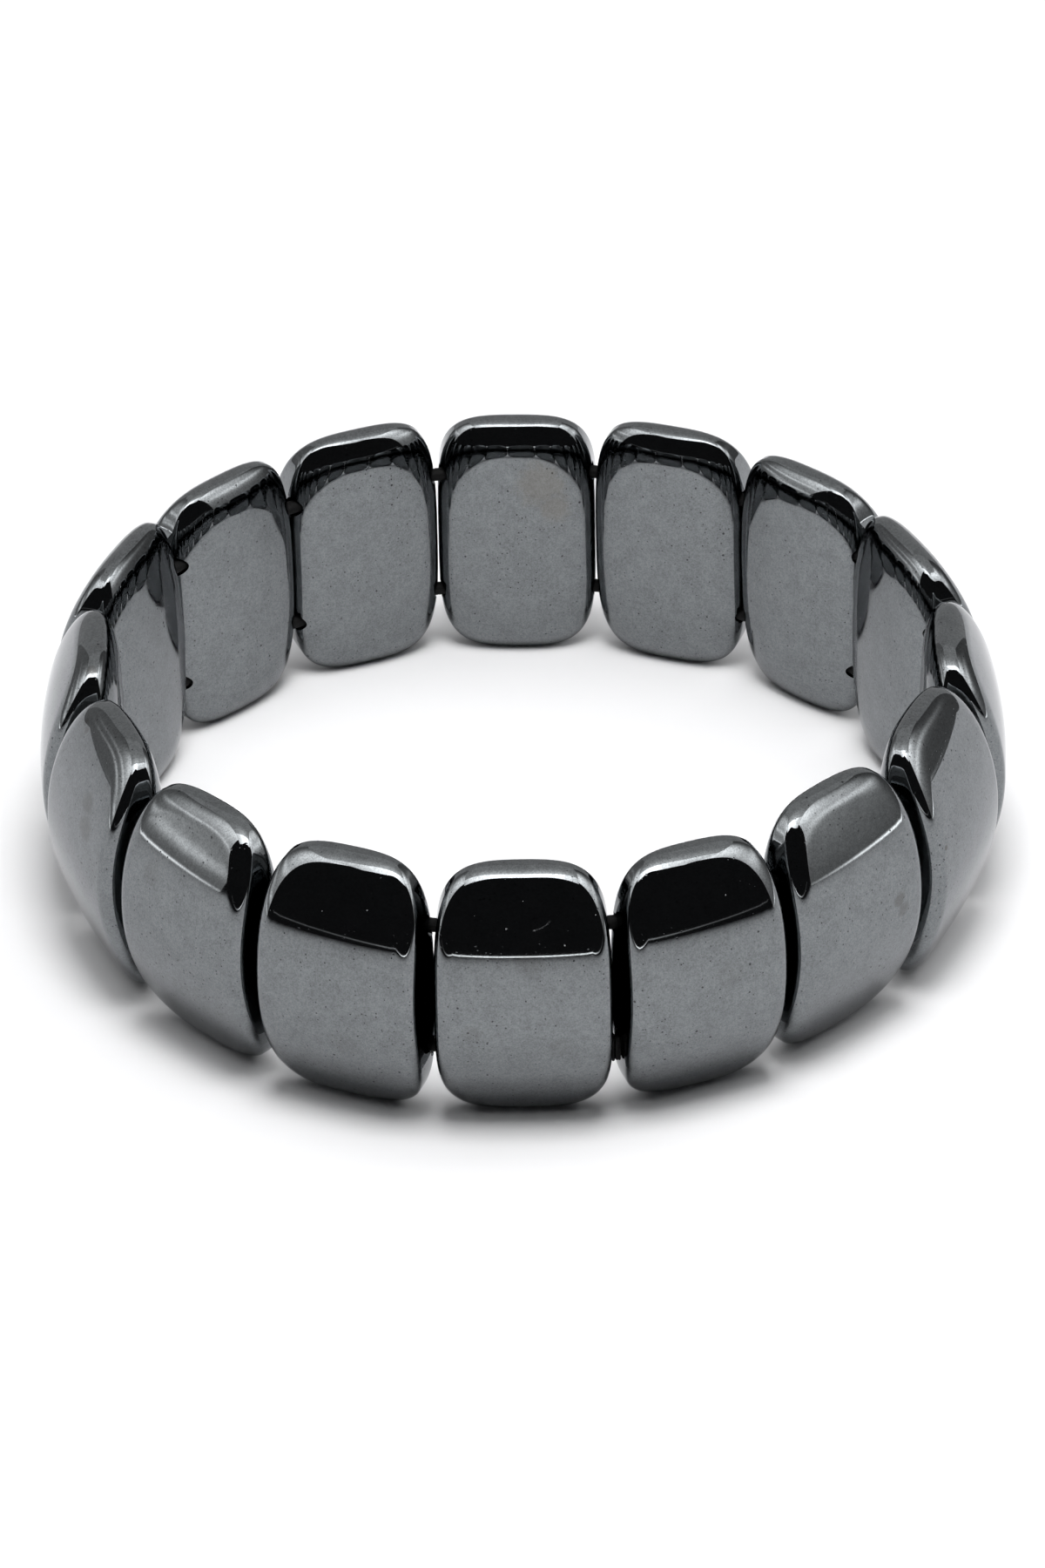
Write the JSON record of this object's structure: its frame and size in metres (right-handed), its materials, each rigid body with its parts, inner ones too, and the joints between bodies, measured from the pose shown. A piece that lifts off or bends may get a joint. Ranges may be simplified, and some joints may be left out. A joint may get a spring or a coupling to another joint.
{
  "type": "hematite stone bracelet",
  "caption": "Closed stretch bracelet of polished grey-black cushion stones, strung side by side on black elastic cords",
  "frame": {"origin": "centre of the ring, on the plane that the stones stand on", "axes": "+Z is the ring's axis and points up, away from the surface; -Y points to the front stone, stone_01; +X points to stone_05"},
  "size_m": [0.0693, 0.0689, 0.0206],
  "materials": {
    "hematite": "mirror-polished grey-black hematite with a metallic lustre and fine pits",
    "elastic": "black braided elastic"
  },
  "bodies": {
    "root": {"stone_01": "hematite", "stone_02": "hematite", "stone_03": "hematite", "stone_04": "hematite", "stone_05": "hematite", "stone_06": "hematite", "stone_07": "hematite", "stone_08": "hematite", "stone_09": "hematite", "stone_10": "hematite", "stone_11": "hematite", "stone_12": "hematite", "stone_13": "hematite", "stone_14": "hematite", "stone_15": "hematite", "stone_16": "hematite", "cord_upper": "elastic", "cord_lower": "elastic"}
  },
  "joints": []
}
